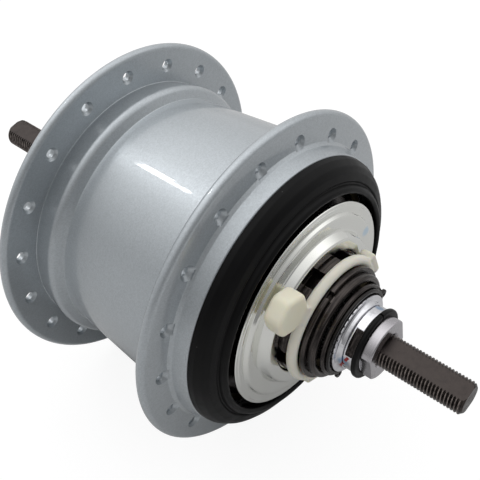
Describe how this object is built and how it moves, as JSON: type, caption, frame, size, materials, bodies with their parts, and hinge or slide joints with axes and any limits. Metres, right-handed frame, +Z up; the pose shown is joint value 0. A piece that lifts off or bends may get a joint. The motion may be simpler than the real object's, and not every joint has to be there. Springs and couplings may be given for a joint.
{
  "type": "internal gear hub",
  "caption": "Rear wheel internal gear hub: silver flanged shell, stepped driver, rubber seal, shift plate, threaded axle and planetary gear train inside.",
  "frame": {"origin": "middle of the axle, halfway between the two faces that bear on the dropouts", "axes": "+Y along the axle towards the left (non-drive) side, +Z up"},
  "size_m": [0.1053, 0.182, 0.1052],
  "materials": {
    "silver_paint": "glossy silver-grey metallic paint, bare countersinks",
    "black_axle": "dark phosphated steel, threaded, worn to bare metal on the flats",
    "dark_steel": "dark brown-black phosphated steel",
    "zinc_plate": "bright zinc plating with pressed ring beads",
    "bright_steel": "bright plated steel",
    "brushed_nut": "turned steel, satin",
    "black_rubber": "satin black moulded rubber",
    "ivory_nylon": "ivory moulded nylon",
    "black_spring_steel": "blackened spring steel",
    "gear_steel": "hardened gear steel with an oil film",
    "ball_steel": "polished bearing steel",
    "cage_brass": "pressed brass",
    "black_plastic": "black moulded plastic"
  },
  "bodies": {
    "axle_group": {"axle": "black_axle", "sun_gear_1": "gear_steel", "right_cone": "gear_steel", "toothed_washer": "bright_steel", "stop_ring": "bright_steel", "right_o_ring": "black_rubber", "right_locknut": "brushed_nut", "left_cone": "gear_steel", "left_washer": "bright_steel", "left_spacer": "brushed_nut", "left_locknut": "brushed_nut", "sun_pawls": "gear_steel"},
    "shifter_group": {"cam_sleeve": "gear_steel", "shift_plate": "dark_steel", "shift_clip": "black_spring_steel", "return_spring": "gear_steel"},
    "driver_group": {"driver": "dark_steel", "driver_snap_ring": "dark_steel", "dust_cap": "zinc_plate", "transport_ring": "ivory_nylon", "ring_gear_1": "gear_steel", "driver_pawls": "gear_steel", "driver_pawl_spring": "gear_steel"},
    "right_ball_group": {"right_balls": "ball_steel", "right_ball_cage": "cage_brass"},
    "main_ball_group": {"main_ball_set": "ball_steel", "main_ball_cage": "cage_brass"},
    "left_ball_group": {"left_balls": "ball_steel", "left_ball_cage": "cage_brass"},
    "carrier_group": {"planet_carrier": "gear_steel", "carrier_plate_left": "gear_steel", "carrier_plate_right": "gear_steel", "planet_pins_a": "ball_steel", "planet_pins_b": "ball_steel", "carrier_screws": "gear_steel", "carrier_pawls": "gear_steel", "carrier_pawl_spring": "gear_steel"},
    "planet_a_1_group": {"planet_a_1": "gear_steel"},
    "planet_a_2_group": {"planet_a_2": "gear_steel"},
    "planet_a_3_group": {"planet_a_3": "gear_steel"},
    "planet_b_1_group": {"planet_b_1": "gear_steel"},
    "planet_b_2_group": {"planet_b_2": "gear_steel"},
    "planet_b_3_group": {"planet_b_3": "gear_steel"},
    "sun_2_group": {"sun_gear_2": "gear_steel"},
    "sun_3_group": {"sun_gear_3": "gear_steel"},
    "sun_4_group": {"sun_gear_4": "gear_steel"},
    "ring_2_group": {"ring_gear_2": "gear_steel", "clutch_rollers": "ball_steel", "roller_cage": "cage_brass"},
    "shell_group": {"hub_shell": "silver_paint", "clutch_sleeve": "gear_steel", "shell_ratchet": "gear_steel", "main_ball_cup": "gear_steel", "left_ball_cup": "gear_steel", "left_dust_cap": "black_plastic", "shell_seal": "black_rubber"}
  },
  "joints": [
    {"name": "driver_spin", "type": "hinge", "parent": "axle_group", "child": "driver_group", "pos_m": [0, 0, 0], "axis": [0, -1, 0], "continuous": true},
    {"name": "carrier_spin", "type": "hinge", "parent": "axle_group", "child": "carrier_group", "pos_m": [0, 0, 0], "axis": [0, -1, 0], "continuous": true},
    {"name": "stage_2_spin", "type": "hinge", "parent": "carrier_group", "child": "ring_2_group", "pos_m": [0, 0, 0], "axis": [0, -1, 0], "continuous": true},
    {"name": "freewheel_spin", "type": "hinge", "parent": "carrier_group", "child": "shell_group", "pos_m": [0, 0, 0], "axis": [0, -1, 0], "continuous": true},
    {"name": "shift_turn", "type": "hinge", "parent": "axle_group", "child": "shifter_group", "pos_m": [0, 0, 0], "axis": [0, -1, 0], "range_deg": [0, 140], "stiffness_Nm_per_rad": 0.05, "springref_deg": -40.11},
    {"name": "right_balls_spin", "type": "hinge", "parent": "axle_group", "child": "right_ball_group", "pos_m": [0, 0, 0], "axis": [0, -1, 0], "continuous": true},
    {"name": "main_balls_spin", "type": "hinge", "parent": "driver_group", "child": "main_ball_group", "pos_m": [0, 0, 0], "axis": [0, -1, 0], "continuous": true},
    {"name": "left_balls_spin", "type": "hinge", "parent": "shell_group", "child": "left_ball_group", "pos_m": [0, 0, 0], "axis": [0, -1, 0], "continuous": true},
    {"name": "planet_a_1_spin", "type": "hinge", "parent": "carrier_group", "child": "planet_a_1_group", "pos_m": [0.0152, 0, 0.00877], "axis": [0, -1, 0], "continuous": true},
    {"name": "planet_a_2_spin", "type": "hinge", "parent": "carrier_group", "child": "planet_a_2_group", "pos_m": [-0.0152, 0, 0.00877], "axis": [0, -1, 0], "continuous": true},
    {"name": "planet_a_3_spin", "type": "hinge", "parent": "carrier_group", "child": "planet_a_3_group", "pos_m": [0, 0, -0.01755], "axis": [0, -1, 0], "continuous": true},
    {"name": "planet_b_1_spin", "type": "hinge", "parent": "carrier_group", "child": "planet_b_1_group", "pos_m": [0, 0, 0.02025], "axis": [0, -1, 0], "continuous": true},
    {"name": "planet_b_2_spin", "type": "hinge", "parent": "carrier_group", "child": "planet_b_2_group", "pos_m": [-0.01754, 0, -0.01013], "axis": [0, -1, 0], "continuous": true},
    {"name": "planet_b_3_spin", "type": "hinge", "parent": "carrier_group", "child": "planet_b_3_group", "pos_m": [0.01754, 0, -0.01013], "axis": [0, -1, 0], "continuous": true},
    {"name": "sun_2_spin", "type": "hinge", "parent": "carrier_group", "child": "sun_2_group", "pos_m": [0, 0, 0], "axis": [0, -1, 0], "continuous": true},
    {"name": "sun_3_spin", "type": "hinge", "parent": "carrier_group", "child": "sun_3_group", "pos_m": [0, 0, 0], "axis": [0, -1, 0], "continuous": true},
    {"name": "sun_4_spin", "type": "hinge", "parent": "carrier_group", "child": "sun_4_group", "pos_m": [0, 0, 0], "axis": [0, -1, 0], "continuous": true}
  ],
  "couplings": [
    {"joint": "carrier_spin", "follows": "driver_spin", "ratio": 0.52885},
    {"joint": "planet_a_1_spin", "follows": "driver_spin", "ratio": 1.3462},
    {"joint": "planet_a_2_spin", "follows": "driver_spin", "ratio": 1.3462},
    {"joint": "planet_a_3_spin", "follows": "driver_spin", "ratio": 1.3462},
    {"joint": "right_balls_spin", "follows": "driver_spin", "ratio": 0.568},
    {"joint": "main_balls_spin", "follows": "freewheel_spin", "ratio": 0.529},
    {"joint": "left_balls_spin", "follows": "freewheel_spin", "ratio": -0.417},
    {"joint": "planet_b_1_spin", "follows": "stage_2_spin", "ratio": 3.5},
    {"joint": "planet_b_2_spin", "follows": "stage_2_spin", "ratio": 3.5},
    {"joint": "planet_b_3_spin", "follows": "stage_2_spin", "ratio": 3.5},
    {"joint": "sun_2_spin", "follows": "stage_2_spin", "ratio": -4.375},
    {"joint": "sun_3_spin", "follows": "stage_2_spin", "ratio": -2.3333},
    {"joint": "sun_4_spin", "follows": "stage_2_spin", "ratio": -1.5806}
  ]
}
